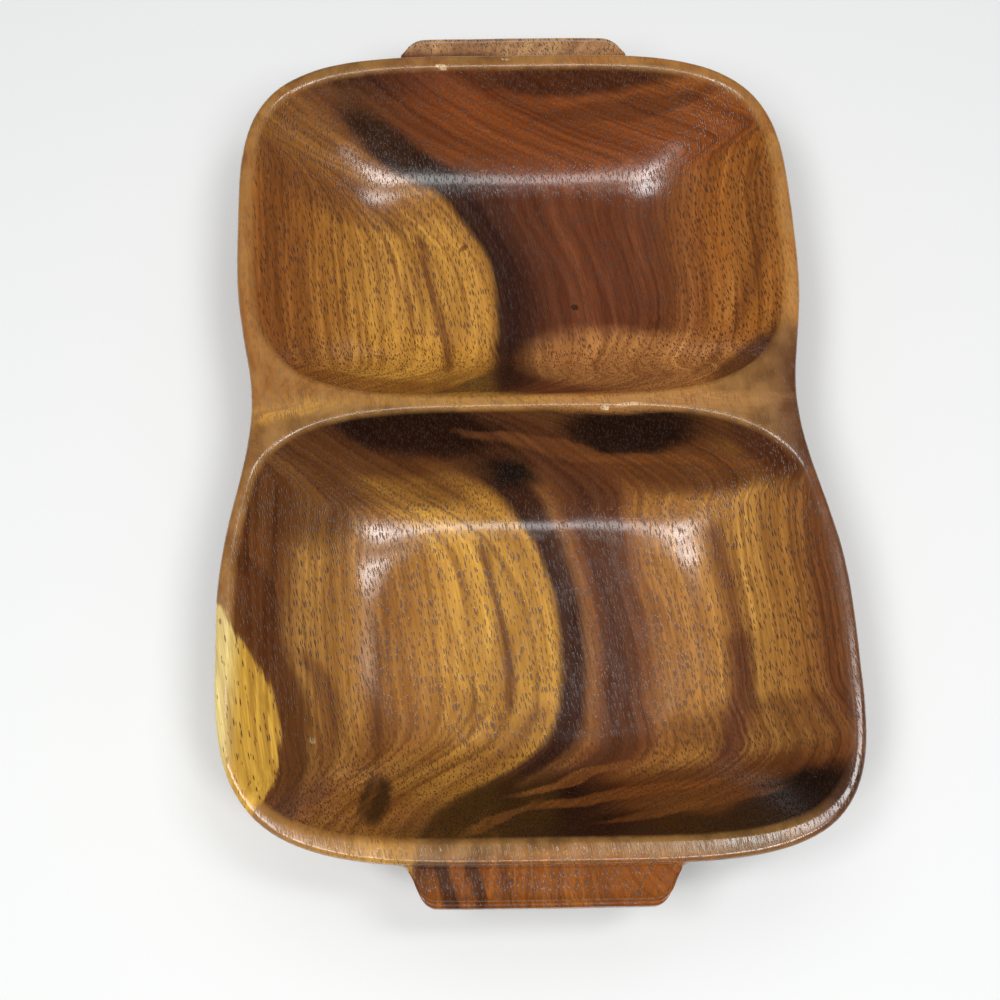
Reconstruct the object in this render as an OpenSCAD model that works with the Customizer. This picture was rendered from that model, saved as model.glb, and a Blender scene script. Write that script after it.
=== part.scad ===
// Divided serving tray carved from one board: a small and a large compartment
// with a narrow septum between them, and a lug handle at each end.
// Z is up, the board's length runs along Y and the small compartment is at +Y.

/* [Board] */
// Height from the base to the rim
tray_height = 44; // [38:1:60]
// Board left under the floors, where a floor meets its walls
floor_thickness = 10; // [7:0.5:13]
// How much lower the middle of a floor is than its edge
floor_dish = 1; // [0.5:0.5:3]

/* [Plan] */
// Width at the small compartment
far_width = 189; // [170:1:200]
// Width at the large compartment
near_width = 197.6; // [185:0.1:215]
// Width at the waist, beside the septum
waist_width = 177.6; // [160:0.1:185]
// Middle of the septum to the rim at the small end
far_length = 133; // [120:1:150]
// Middle of the septum to the rim at the large end
near_length = 146.2; // [130:0.1:165]
// Middle of the septum to the widest place of the small end
far_widest = 58.3; // [45:0.1:70]
// Middle of the septum to the widest place of the large end
near_widest = 72.1; // [55:0.1:85]
// How far the small end stands to the left of the large one, rim to rim
hand_lean = 7.4; // [1:0.1:12]

/* [Rim and septum] */
// Width of the rim along the sides
side_rim = 4.2; // [3.8:0.1:8]
// Width of the rim at the small end
far_rim = 4.8; // [4:0.1:10]
// Width of the rim at the large end
near_rim = 7; // [5:0.1:12]
// Least width of the rim along the flanks of the waist
flank_rim = 3.4; // [3.2:0.1:5]
// Width of the septum between the edges of the compartments
septum_width = 3.6; // [3:0.1:8]
// Rounding of the rim's outer edge
rim_round = 1.8; // [0.8:0.1:1.9]
// Rounding of the compartments' edges, along their end walls
edge_round = 1; // [0.6:0.1:1.1]

/* [Compartments] */
// Middle of the septum to the widest place of the small compartment
far_pocket_widest = 69.8; // [60:0.1:80]
// Middle of the septum to the widest place of the large compartment
near_pocket_widest = 76.2; // [68:0.1:90]
// Run of a side wall, from the rim's edge to the floor
side_run = 46; // [36:1:56]
// Run of an end wall, from the rim's edge to the floor
end_run = 36; // [28:1:42]

/* [Outside] */
// Depth of the upright band under the rim
rim_band = 5; // [3:0.5:8]
// How far the base stands back from the rim at the sides
base_side_inset = 40; // [30:1:48]
// How far the base stands back from the rim at the ends
base_end_inset = 33; // [24:1:38]

/* [Handles] */
// Width where a handle leaves the rim, over its hollow corners
handle_root_width = 88; // [80:1:100]
// Width of the straight outer edge of a handle
handle_tip_width = 64; // [50:1:72]
// How far a handle stands out from the rim
handle_reach = 11.8; // [6:0.1:16]
// How far the top of a handle falls from the rim to its outer edge
handle_fall = 6.5; // [4:0.1:8]
// Thickness of a handle at its outer edge
handle_thickness = 9; // [6:0.5:11]
// How far the underside of a handle falls from its outer edge to the side of the tray
handle_underside_fall = 3; // [1:0.5:5]
// Rounding of a handle's outer edges
handle_round = 1.6; // [0.6:0.1:2]

/* [Hidden] */

wood_colour = [0.55, 0.33, 0.16];

// How far each corner reaches along the diagonal of its box, where a square corner has 1
far_corner_share = 0.845;
near_left_corner_share = 0.84;
near_right_corner_share = 0.857;
base_corner_share = 0.82;
pocket_far_corner_share = 0.841;
pocket_near_left_corner_share = 0.855;
pocket_near_right_corner_share = 0.868;
pocket_septum_corner_share = 0.844;
pocket_valley_corner_share = 0.87;
pocket_floor_corner_share = 0.8;

// Share of a wall's run, and of the outside's, that lies straight before it bends level
wall_straight_share = 0.5;
outside_straight_share = 0.68;
// Share of the tray's lean that the handles follow
handle_lean_share = 0.6;
// Share of the run at which the valleys between the walls are sharpest
valley_share = 0.4;
// How much steeper than a plain wave the flanks of a handle are
flank_steep_share = 0.45;
// Share of a handle's flank over which the upright side turns into the handle's section
flank_blend_share = 0.2;
// Exponents that keep the flanks of the waist full, where a plain wave has 1
far_waist_power = 1.35;
near_waist_power = 1.15;
// How gently a compartment's edge turns to follow the flanks of the waist
flank_ease = 0.7;

// Counts of steps along the outline and across the walls
corner_steps = 12;
flank_steps = 9;
tip_steps = 6;
side_steps = 9;
septum_steps = 20;
round_steps = 3;
straight_steps = 4;
bend_steps = 6;
floor_steps = 3;
outside_steps = 9;

pocket_depth = tray_height - floor_thickness;

// Exponent of the rounded box whose corner reaches this share of the diagonal
function corner_power(share) = ln(0.5) / ln(share);

// Point of a rounded box around its middle, in the direction of an angle
function box_point(angle, half_width, reach, power) =
    let (spread = pow(abs(cos(angle)) / half_width, power) + pow(abs(sin(angle)) / reach, power))
    pow(spread, -1 / power) * [cos(angle), sin(angle)];

// Angle at which a rounded box has the given distance from its middle line
function box_angle(x, half_width, reach, power) =
    atan2(reach * pow(1 - pow(abs(x) / half_width, power), 1 / power), x);

// Smooth rise from 0 to 1
function wave(u) = (1 - cos(180 * u)) / 2;

// Fall of a wall along its run, straight at first and then bending level
function wall_fall(t, straight) =
    t < straight ? 2 * t / (1 + straight) : 1 - pow(1 - t, 2) / (1 - pow(straight, 2));

// Sizes of one end of the tray: the far end for side 1 and the near end for side -1
function end_width(side) = side > 0 ? far_width : near_width;
function end_length(side) = side > 0 ? far_length : near_length;
function end_widest(side) = side > 0 ? far_widest : near_widest;
function end_rim(side) = side > 0 ? far_rim : near_rim;
function end_corner(side, right) =
    side > 0 ? far_corner_share : right ? near_right_corner_share : near_left_corner_share;
function pocket_widest(side) = side > 0 ? far_pocket_widest : near_pocket_widest;
function pocket_corner(side, right) =
    side > 0 ? pocket_far_corner_share
    : right ? pocket_near_right_corner_share
    : pocket_near_left_corner_share;

// Half the tray's width on the way to the waist, which is a share of 0 at the widest place
function flank_half_width(side, share) =
    let (power = side > 0 ? far_waist_power : near_waist_power)
    end_width(side) / 2 + (waist_width - end_width(side)) / 2 * wave(pow(share, power));

// Distance from the middle line that comes up to a limit smoothly and stays under it
function held(x, limit) = sign(x) * (abs(x) - flank_ease * ln(1 + exp((abs(x) - limit) / flank_ease)));

// Sideways place of the tray's middle line, which stands straight at the widest place of the near end
function lean_at(y) = -hand_lean * (y + near_widest) / (far_length + near_length);
// Middle of a handle, seen from the leaning middle line
function handle_middle(side) = (handle_lean_share - 1) * lean_at(side * end_length(side));

// Stations of a handle, each with its place across the end and its share of the reach
function handle_stations(side) =
    let (half_root = handle_root_width / 2, half_tip = handle_tip_width / 2)
    let (flank = [for (i = [0:flank_steps])
        let (u = i / flank_steps)
        let (eased = u + flank_steep_share * sin(360 * u) / (2 * PI))
        [half_root - (half_root - half_tip) * eased, wave(u)]])
    let (tip = [for (i = [1:tip_steps - 1]) [half_tip * (1 - 2 * i / tip_steps), 1]])
    let (left_flank = [for (i = [flank_steps:-1:0]) [-flank[i][0], flank[i][1]]])
    concat(flank, tip, left_flank);

// Stations of one half of the outline, from the right of the waist to its left:
// the angle seen from the widest place, the share of the way to the waist, the handle's share
function half_stations(side) =
    let (half_width = end_width(side) / 2, reach = end_length(side) - end_widest(side))
    let (handle = [for (s = handle_stations(side))
        let (x = s[0] + handle_middle(side))
        [box_angle(x, half_width, reach, corner_power(end_corner(side, x > 0))), 0, s[1]]])
    let (first = handle[0][0], last = handle[len(handle) - 1][0])
    concat(
        [for (i = [side_steps:-1:1]) [0, i / side_steps, 0]],
        [for (i = [0:corner_steps - 1]) [first * i / corner_steps, 0, 0]],
        handle,
        [for (i = [1:corner_steps]) [last + (180 - last) * i / corner_steps, 0, 0]],
        [for (i = [1:side_steps]) [180, i / side_steps, 0]]
    );

far_stations = half_stations(1);
near_stations = half_stations(-1);
half_count = len(far_stations);
ring_count = 2 * half_count - 2;
loop_count = half_count + septum_steps - 1;

// Point of the outline at a station before it leans, brought in by an inset at the sides and the ends
function upright_point(side, station, side_inset, end_inset, corner) =
    let (half_width = flank_half_width(side, station[1]) - side_inset)
    let (reach = end_length(side) - end_widest(side) - end_inset)
    station[1] > 0
        ? [cos(station[0]) * half_width, end_widest(side) * (1 - station[1])]
        : box_point(station[0], half_width, reach, corner_power(corner)) + [0, end_widest(side)];

function outline_point(side, station, side_inset, end_inset, corner) =
    let (point = upright_point(side, station, side_inset, end_inset, corner))
    [point[0] + lean_at(side * point[1]), side * point[1]];

// Rings of the outside, each with the share of its inset, its height below the rim, the share
// of the handle's reach and the depth that it has on a handle
round_rings = [for (i = [0:round_steps])
    let (turn = 90 * i / round_steps)
    [rim_round * (1 - sin(turn)), rim_round * (1 - cos(turn))]];
handle_bottom = handle_fall + handle_thickness;
handle_root_bottom = handle_bottom + handle_underside_fall;
handle_rings = [
    [0.4, rim_round + 0.4 * (handle_fall - rim_round)],
    [0.75, rim_round + 0.75 * (handle_fall - rim_round)],
    [1 - handle_round / handle_reach, handle_fall],
    [1 - 0.3 * handle_round / handle_reach, handle_fall + 0.3 * handle_round],
    [1, handle_fall + handle_round],
    [1, handle_bottom - handle_round],
    [1 - 0.3 * handle_round / handle_reach, handle_bottom - 0.3 * handle_round],
    [1 - handle_round / handle_reach, handle_bottom],
    [0.45, handle_root_bottom - 0.45 * handle_underside_fall],
    [0.1, handle_root_bottom],
    [0, handle_root_bottom + handle_round]
];
handle_ring_count = len(handle_rings);

// Share of the outside's run at a depth below the rim
function outside_share(depth) =
    max(depth - rim_band, 0) / (tray_height - rim_band) * (1 + outside_straight_share) / 2;

// Depth at which the handle's rings lie on a bare side
function side_depth(i) =
    rim_round + (handle_root_bottom + handle_round - rim_round) * (i + 1) / handle_ring_count;

first_outside_share = outside_share(handle_root_bottom + handle_round);

function ring_point(side, station, inset_share, depth, out) =
    let (rim_corner = end_corner(side, station[0] < 90))
    let (corner = rim_corner + (base_corner_share - rim_corner) * inset_share)
    let (point = outline_point(side, station, base_side_inset * inset_share,
        base_end_inset * inset_share, corner))
    [point[0], point[1] + side * out, tray_height - depth];

// Rounded edge of the rim
function round_point(side, station, i) =
    let (ring = round_rings[i])
    let (point = outline_point(side, station, ring[0], ring[0], end_corner(side, station[0] < 90)))
    [point[0], point[1], tray_height - ring[1]];

// Band below the rim, which carries the handles
function handle_point(side, station, i) =
    let (ring = handle_rings[i], share = station[2])
    let (blend = share > flank_blend_share ? 1 : wave(share / flank_blend_share))
    let (top = ring[1] < handle_fall + handle_round)
    let (lug_depth = top ? rim_round + (ring[1] - rim_round) * share : ring[1])
    let (depth = side_depth(i) + (lug_depth - side_depth(i)) * blend)
    let (inset_share = outside_share(depth) * (1 - ring[0] * blend))
    ring_point(side, station, inset_share, depth, handle_reach * ring[0] * share);

// Lower side, down to the base
function lower_point(side, station, i) =
    let (share = first_outside_share + (1 - first_outside_share) * i / outside_steps)
    let (depth = rim_band + (tray_height - rim_band) * wall_fall(share, outside_straight_share))
    ring_point(side, station, share, depth, 0);

outside_ring_count = round_steps + 1 + handle_ring_count + outside_steps;

function outside_point(side, station, ring) =
    ring <= round_steps ? round_point(side, station, ring)
    : ring <= round_steps + handle_ring_count ? handle_point(side, station, ring - round_steps - 1)
    : lower_point(side, station, ring - round_steps - handle_ring_count);

// One ring of the outside, once round from the right of the waist
function outside_ring(ring) = concat(
    [for (station = far_stations) outside_point(1, station, ring)],
    [for (i = [half_count - 2:-1:1]) outside_point(-1, near_stations[i], ring)]
);

// Directions in which the rim's crest and then the septum are seen from the middle of a compartment
function crest_angle(side, station) =
    let (corner = end_corner(side, station[0] < 90))
    let (point = upright_point(side, station, rim_round, rim_round, corner))
    let (angle = atan2(point[1] - pocket_widest(side), point[0]))
    point[0] < 0 && angle < 0 ? angle + 360 : angle;
function loop_angles(side) =
    let (rim = [for (station = side > 0 ? far_stations : near_stations) crest_angle(side, station)])
    let (first = rim[len(rim) - 1], last = rim[0] + 360)
    concat(rim, [for (i = [1:septum_steps - 1]) first + (last - first) * i / septum_steps]);

// Loops of a compartment: share of the walls' run, share of the floor crossed, fall below the rim
edge_share = edge_round / end_run;
edge_fall = 2 / (1 + wall_straight_share);
pocket_loops = concat(
    [for (i = [0:round_steps])
        let (t = edge_share * (2 * i / round_steps - 1))
        [t, 0, pocket_depth * edge_fall * pow(t + edge_share, 2) / (4 * edge_share)]],
    [for (i = [1:straight_steps])
        let (t = edge_share + (wall_straight_share - edge_share) * i / straight_steps)
        [t, 0, pocket_depth * wall_fall(t, wall_straight_share)]],
    [for (i = [1:bend_steps])
        let (t = wall_straight_share + (1 - wall_straight_share) * i / bend_steps)
        [t, 0, pocket_depth * wall_fall(t, wall_straight_share)]],
    [for (i = [1:floor_steps - 1])
        let (q = i / floor_steps)
        [1, q, pocket_depth + floor_dish * (1 - pow(1 - q, 2))]]
);

// Corner share of a loop, which sharpens down the valleys and softens at the floor
function loop_corner(rim_share, t) =
    let (valley = pocket_valley_corner_share)
    t < valley_share
        ? rim_share + (valley - rim_share) * max(t, 0) / valley_share
        : valley + (pocket_floor_corner_share - valley) * (t - valley_share) / (1 - valley_share);

function pocket_point(side, angle, loop) =
    let (outward = sin(angle) >= 0)
    let (full_reach = outward
        ? end_length(side) - end_rim(side) - pocket_widest(side)
        : pocket_widest(side) - septum_width / 2)
    let (corner = outward ? pocket_corner(side, cos(angle) > 0) : pocket_septum_corner_share)
    let (half_width = (end_width(side) / 2 - side_rim - side_run * loop[0]) * (1 - loop[1]))
    let (reach = (full_reach - end_run * loop[0]) * (1 - loop[1]))
    let (point = box_point(angle, half_width, reach, corner_power(loop_corner(corner, loop[0]))))
    let (y = pocket_widest(side) + point[1])
    let (limit = flank_half_width(side, max(1 - y / end_widest(side), 0)) - flank_rim - side_run * loop[0])
    [held(point[0], limit) + lean_at(side * y), side * y, tray_height - loop[2]];

function pocket_middle(side) =
    let (y = side * pocket_widest(side))
    [lean_at(y), y, tray_height - pocket_depth - floor_dish];

function pocket_points(side) = concat(
    [for (loop = pocket_loops) for (angle = loop_angles(side)) pocket_point(side, angle, loop)],
    [pocket_middle(side)]
);

// Middle line of the septum, from left to right between the two ends of the waist
septum_points = [for (i = [1:septum_steps - 1])
    let (half_waist = waist_width / 2 - rim_round)
    [lean_at(0) - half_waist * cos(180 * i / septum_steps), 0, tray_height]];

septum_start = outside_ring_count * ring_count;
far_start = septum_start + septum_steps - 1;
pocket_size = len(pocket_loops) * loop_count + 1;
near_start = far_start + pocket_size;

// Number of the point on the crest that borders a compartment's loop
function crest_index(side, i) =
    i >= half_count ? septum_start + i - half_count
    : side > 0 ? i
    : (ring_count - i) % ring_count;

// Two triangles between two neighbours on one ring and two on the next
function band(a, b, c, d) = [[a, b, c], [c, b, d]];

outside_faces = [for (ring = [0:outside_ring_count - 2]) for (i = [0:ring_count - 1])
    let (next = (i + 1) % ring_count)
    each band(ring * ring_count + i, ring * ring_count + next,
        (ring + 1) * ring_count + i, (ring + 1) * ring_count + next)];

base_face = [for (i = [0:ring_count - 1]) (outside_ring_count - 1) * ring_count + i];

function turned(faces) = [for (face = faces) [face[0], face[2], face[1]]];

function pocket_faces(side) =
    let (start = side > 0 ? far_start : near_start)
    let (last = start + (len(pocket_loops) - 1) * loop_count)
    let (middle = start + pocket_size - 1)
    let (faces = concat(
        [for (i = [0:loop_count - 1])
            let (next = (i + 1) % loop_count)
            each band(start + i, start + next, crest_index(side, i), crest_index(side, next))],
        [for (loop = [0:len(pocket_loops) - 2]) for (i = [0:loop_count - 1])
            let (next = (i + 1) % loop_count, here = start + loop * loop_count)
            each band(here + loop_count + i, here + loop_count + next, here + i, here + next)],
        [for (i = [0:loop_count - 1]) [middle, last + (i + 1) % loop_count, last + i]]
    ))
    side > 0 ? faces : turned(faces);

tray_points = concat(
    [for (ring = [0:outside_ring_count - 1]) each outside_ring(ring)],
    septum_points,
    pocket_points(1),
    pocket_points(-1)
);
tray_faces = concat(outside_faces, [base_face], pocket_faces(1), pocket_faces(-1));

function middle(values) = (min(values) + max(values)) / 2;
tray_middle = [
    middle([for (point = tray_points) point[0]]),
    middle([for (point = tray_points) point[1]])
];

module carved_tray() {
    color(wood_colour)
        translate([-tray_middle[0], -tray_middle[1], 0])
            polyhedron(points = tray_points, faces = tray_faces, convexity = 6);
}

carved_tray();
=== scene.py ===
import math

import bpy
import numpy as np
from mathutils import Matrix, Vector, noise


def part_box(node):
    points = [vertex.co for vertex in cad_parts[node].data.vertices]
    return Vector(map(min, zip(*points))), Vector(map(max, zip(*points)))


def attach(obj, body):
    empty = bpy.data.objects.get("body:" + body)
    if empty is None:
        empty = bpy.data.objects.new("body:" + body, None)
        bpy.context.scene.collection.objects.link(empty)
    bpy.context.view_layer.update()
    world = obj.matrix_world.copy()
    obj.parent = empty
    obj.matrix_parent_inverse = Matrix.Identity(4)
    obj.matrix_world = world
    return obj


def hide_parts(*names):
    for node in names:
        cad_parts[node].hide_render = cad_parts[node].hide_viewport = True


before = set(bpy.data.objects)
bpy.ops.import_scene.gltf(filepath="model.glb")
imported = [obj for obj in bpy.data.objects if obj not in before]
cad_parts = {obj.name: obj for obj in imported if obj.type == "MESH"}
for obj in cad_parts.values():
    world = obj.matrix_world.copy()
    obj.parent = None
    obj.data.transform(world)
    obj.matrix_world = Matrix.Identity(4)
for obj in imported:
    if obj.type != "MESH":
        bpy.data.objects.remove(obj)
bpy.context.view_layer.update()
mm = 0.001
trayNode = "carved_tray"
trayLow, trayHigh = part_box(trayNode)
traySize = trayHigh - trayLow
print("frame loaded, tray", [round(side / mm, 1) for side in traySize], "mm")


# Camera: a phone held over the tray and a little towards its near end
camera = {
    "place": (-12.7, -167.9, 464.2),  # mm
    "tiltDegrees": 18.5,
    "turnDegrees": -0.848,
    "imageSize": 1000,  # pixels, both ways
    "focalPixels": 1400,
    "sensorWidth": 36,  # mm
}


def makeCamera():
    data = bpy.data.cameras.new("camera")
    data.sensor_width = camera["sensorWidth"]
    data.lens = data.sensor_width * camera["focalPixels"] / camera["imageSize"]
    body = bpy.data.objects.new("camera", data)
    body.location = Vector(camera["place"]) * mm
    tilt, turn = math.radians(camera["tiltDegrees"]), math.radians(camera["turnDegrees"])
    body.rotation_euler = (tilt, 0, turn)
    bpy.context.scene.collection.objects.link(body)
    bpy.context.scene.camera = body
    print("camera:", round(data.lens, 1), "mm lens")


makeCamera()


# Carved tray: every length in mm, Z up, the small hollow at +Y.
# The height follows the frame's box, and the finished surface is fitted to the whole of it.
carvedTray = {
    "height": traySize.z / mm,
    "floorThickness": 10, "floorDish": 1,
    "farWidth": 189, "nearWidth": 197.6, "waistWidth": 177.6,
    "farLength": 133, "nearLength": 146.2, "farWidest": 58.3, "nearWidest": 72.1, "handLean": 7.4,
    "sideRim": 4.2, "farRim": 4.8, "nearRim": 7, "flankRim": 3.4, "septumWidth": 3.6,
    "rimRound": 1.8, "edgeRound": 1,
    "farPocketWidest": 69.8, "nearPocketWidest": 76.2, "sideRun": 46, "endRun": 36,
    "rimBand": 5, "baseSideInset": 40, "baseEndInset": 33,
    "handleRootWidth": 88, "handleTipWidth": 64, "handleReach": 11.8, "handleFall": 6.5,
    "handleThickness": 9, "handleUndersideFall": 3, "handleRound": 1.6,
    # Handle's profile: shares of its reach along the top, how full its rounded edges are, and
    # (share of its reach, share of the fall) along the underside
    "handleTopShares": (0, 0.4, 0.75), "handleEdgeShare": 0.3,
    "handleUndersideShares": ((0.45, 0.55), (0.1, 1)),
    # How far each corner reaches along the diagonal of its box, where a square corner has 1
    "farCorner": 0.845, "nearLeftCorner": 0.84, "nearRightCorner": 0.857, "baseCorner": 0.82,
    "pocketFarCorner": 0.841, "pocketNearLeftCorner": 0.855, "pocketNearRightCorner": 0.868,
    "pocketSeptumCorner": 0.844, "pocketValleyCorner": 0.87, "pocketFloorCorner": 0.8,
    "wallStraight": 0.5, "outsideStraight": 0.68, "handleLean": 0.6, "valley": 0.4,
    "flankSteep": 0.45, "flankBlend": 0.2,
    # Exponents that keep the flanks of the waist full, and how gently an edge turns along them
    "farWaistPower": 1.35, "nearWaistPower": 1.15, "flankEase": 0.7,
    # Rings of the flat base, as shares of the way to its middle
    "baseRings": (0.03, 0.2, 0.6),
    # Unevenness of the hand finish: how deep, how long its waves are, and where in the pattern they start
    "handDepth": 0.16, "handWave": 17, "handSeed": 3.1,
    "rimDepth": 0.12, "rimWave": 9, "rimSeed": 8.7,
    # The rim's finish takes over between these depths, and the base stays flat up to these heights
    "rimFinishDepths": (5, 1), "flatBaseHeights": (0.5, 4),
}
steps = {
    "corner": 40, "flank": 30, "tip": 16, "side": 30, "septum": 64,
    "round": 8, "straight": 12, "bend": 20, "floor": 10, "outside": 24, "handleSpan": 4,
}
tray = carvedTray
pocketDepth = tray["height"] - tray["floorThickness"]


def endOf(name, side):
    return tray[("far" if side > 0 else "near") + name]


def pocketWidest(side):
    return tray["farPocketWidest" if side > 0 else "nearPocketWidest"]


def rimCorner(side, onRight):  # the large end's two corners differ
    if side > 0:
        return tray["farCorner"]
    return np.where(onRight, tray["nearRightCorner"], tray["nearLeftCorner"])


def pocketCorner(side, onRight):
    if side > 0:
        return tray["pocketFarCorner"]
    return np.where(onRight, tray["pocketNearRightCorner"], tray["pocketNearLeftCorner"])


def cornerPower(share):  # exponent of the rounded box whose corner reaches this share of the diagonal
    return np.log(0.5) / np.log(share)


def boxPoint(angle, halfWidth, reach, power):  # point of a rounded box in the direction of an angle
    across, along = np.cos(angle), np.sin(angle)
    spread = (np.abs(across) / halfWidth) ** power + (np.abs(along) / reach) ** power
    size = spread ** (-1 / power)
    return size * across, size * along


def boxAngle(x, halfWidth, reach, power):
    return np.arctan2(reach * (1 - (np.abs(x) / halfWidth) ** power) ** (1 / power), x)


def wave(u):  # smooth rise from 0 to 1
    return (1 - np.cos(np.pi * u)) / 2


def wallFall(t, straight):  # fall of a wall along its run, straight at first and then bending level
    return np.where(t < straight, 2 * t / (1 + straight), 1 - (1 - t) ** 2 / (1 - straight ** 2))


def flankHalfWidth(side, share):  # half the tray's width at a share of the way to the waist
    widest, waist = endOf("Width", side) / 2, tray["waistWidth"] / 2
    return widest + (waist - widest) * wave(share ** endOf("WaistPower", side))


def held(x, limit):  # comes up to a limit smoothly and stays under it
    ease = tray["flankEase"]
    return np.sign(x) * (np.abs(x) - ease * np.log1p(np.exp((np.abs(x) - limit) / ease)))


def leanAt(y):  # sideways place of the middle line
    return -tray["handLean"] * (y + tray["nearWidest"]) / (tray["farLength"] + tray["nearLength"])


def handleStations(side):  # place across the end, and share of the handle's reach
    halfRoot, halfTip = tray["handleRootWidth"] / 2, tray["handleTipWidth"] / 2
    u = np.arange(steps["flank"] + 1) / steps["flank"]
    eased = u + tray["flankSteep"] * np.sin(2 * np.pi * u) / (2 * np.pi)
    flank = halfRoot - (halfRoot - halfTip) * eased
    tip = halfTip * (1 - 2 * np.arange(1, steps["tip"]) / steps["tip"])
    middle = (tray["handleLean"] - 1) * leanAt(side * endOf("Length", side))
    across = np.concatenate([flank, tip, -flank[::-1]]) + middle
    return across, np.concatenate([wave(u), np.ones(len(tip)), wave(u)[::-1]])


def halfStations(side):  # rows of angle, share of the way to the waist, share of the handle
    reach = endOf("Length", side) - endOf("Widest", side)
    across, share = handleStations(side)
    angle = boxAngle(across, endOf("Width", side) / 2, reach, cornerPower(rimCorner(side, across > 0)))
    sides = np.arange(1, steps["side"] + 1) / steps["side"]
    corners = np.arange(steps["corner"]) / steps["corner"]
    rows = [[0, u, 0] for u in sides[::-1]]
    rows += [[angle[0] * u, 0, 0] for u in corners]
    rows += [[a, 0, s] for a, s in zip(angle, share)]
    rows += [[np.pi + (angle[-1] - np.pi) * u, 0, 0] for u in corners[::-1]]
    rows += [[np.pi, u, 0] for u in sides]
    return np.array(rows)


stations = {side: halfStations(side) for side in (1, -1)}
halfCount = len(stations[1])
ringCount = 2 * halfCount - 2
loopCount = halfCount + steps["septum"] - 1


def uprightPoint(side, sideInset, endInset, corner):  # outline before it leans
    angle, toWaist, share = stations[side].T
    halfWidth = flankHalfWidth(side, toWaist) - sideInset
    reach = endOf("Length", side) - endOf("Widest", side) - endInset
    boxX, boxY = boxPoint(angle, halfWidth, reach, cornerPower(corner))
    x = np.where(toWaist > 0, np.cos(angle) * halfWidth, boxX)
    y = np.where(toWaist > 0, endOf("Widest", side) * (1 - toWaist), boxY + endOf("Widest", side))
    return x, y


def outlinePoint(side, sideInset, endInset, corner):
    x, y = uprightPoint(side, sideInset, endInset, corner)
    return x + leanAt(side * y), side * y


def spanned(points):  # smooth curve through the corners of a profile
    padded = np.array([points[0]] + points + [points[-1]])
    rows = []
    for a, b, c, d in zip(padded[:-3], padded[1:-2], padded[2:-1], padded[3:]):
        for u in np.arange(1, steps["handleSpan"] + 1) / steps["handleSpan"]:
            bend = (2 * a - 5 * b + 4 * c - d) * u ** 2 + (3 * b - a - 3 * c + d) * u ** 3
            rows.append(b + (c - a) * u / 2 + bend / 2)
    return np.array(rows)


def handleProfile():  # share of the handle's reach, depth below the rim, and whether it is on top
    fall, bottom = tray["handleFall"], tray["handleFall"] + tray["handleThickness"]
    edge, under = tray["handleRound"], tray["handleUndersideFall"]
    roundShare, bulge = edge / tray["handleReach"], tray["handleEdgeShare"]
    top = [[s, tray["rimRound"] + s * (fall - tray["rimRound"]), 1] for s in tray["handleTopShares"]]
    tip = [
        [1 - roundShare, fall, 1], [1 - bulge * roundShare, fall + bulge * edge, 1],
        [1, fall + edge, 0], [1, bottom - edge, 0],
        [1 - bulge * roundShare, bottom - bulge * edge, 0], [1 - roundShare, bottom, 0],
    ]
    below = [[s, bottom + part * under, 0] for s, part in tray["handleUndersideShares"]]
    return top + tip + below + [[0, bottom + under + edge, 0]]


handleRings = spanned(handleProfile())
handleBottom = handleRings[-1][1]


def outsideShare(depth):  # share of the outside's run at a depth below the rim
    slope = (1 + tray["outsideStraight"]) / 2 / (tray["height"] - tray["rimBand"])
    return np.maximum(depth - tray["rimBand"], 0) * slope


def outlineCorner(side):
    return rimCorner(side, stations[side][:, 0] < np.pi / 2)


def ringPoint(side, share, depth, out):
    corner = outlineCorner(side) + (tray["baseCorner"] - outlineCorner(side)) * share
    x, y = outlinePoint(side, tray["baseSideInset"] * share, tray["baseEndInset"] * share, corner)
    return np.stack([x, y + side * out, tray["height"] - depth + 0 * x], 1)


def roundRing(side, i):  # rounded edge of the rim
    turn = np.pi / 2 * i / steps["round"]
    inset = tray["rimRound"] * (1 - math.sin(turn))
    x, y = outlinePoint(side, inset, inset, outlineCorner(side))
    return np.stack([x, y, tray["height"] - tray["rimRound"] * (1 - math.cos(turn)) + 0 * x], 1)


def handleRing(side, i):  # band below the rim, which carries the handles
    reachShare, ringDepth, onTop = handleRings[i]
    share = stations[side][:, 2]
    onLug = np.where(share > tray["flankBlend"], 1, wave(share / tray["flankBlend"]))
    lugDepth = ringDepth - (ringDepth - tray["rimRound"]) * (1 - share) * onTop
    sideDepth = tray["rimRound"] + (handleBottom - tray["rimRound"]) * (i + 1) / len(handleRings)
    depth = sideDepth + (lugDepth - sideDepth) * onLug
    inset = outsideShare(depth) * (1 - reachShare * onLug)
    return ringPoint(side, inset, depth, tray["handleReach"] * reachShare * share)


def lowerRing(side, i):  # lower side, down to the base
    first = outsideShare(handleBottom)
    share = first + (1 - first) * i / steps["outside"]
    fall = wallFall(share, tray["outsideStraight"])
    depth = tray["rimBand"] + (tray["height"] - tray["rimBand"]) * fall
    return ringPoint(side, share, depth, 0)


def baseRing(side, share):  # flat underside, drawn in towards its middle
    points = ringPoint(side, 1, tray["height"], 0)
    return points * [1 - share, 1 - share, 1]


def outsideRing(ring, *place):
    far, near = ring(1, *place), ring(-1, *place)
    return np.concatenate([far, near[-2:0:-1]])


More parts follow.
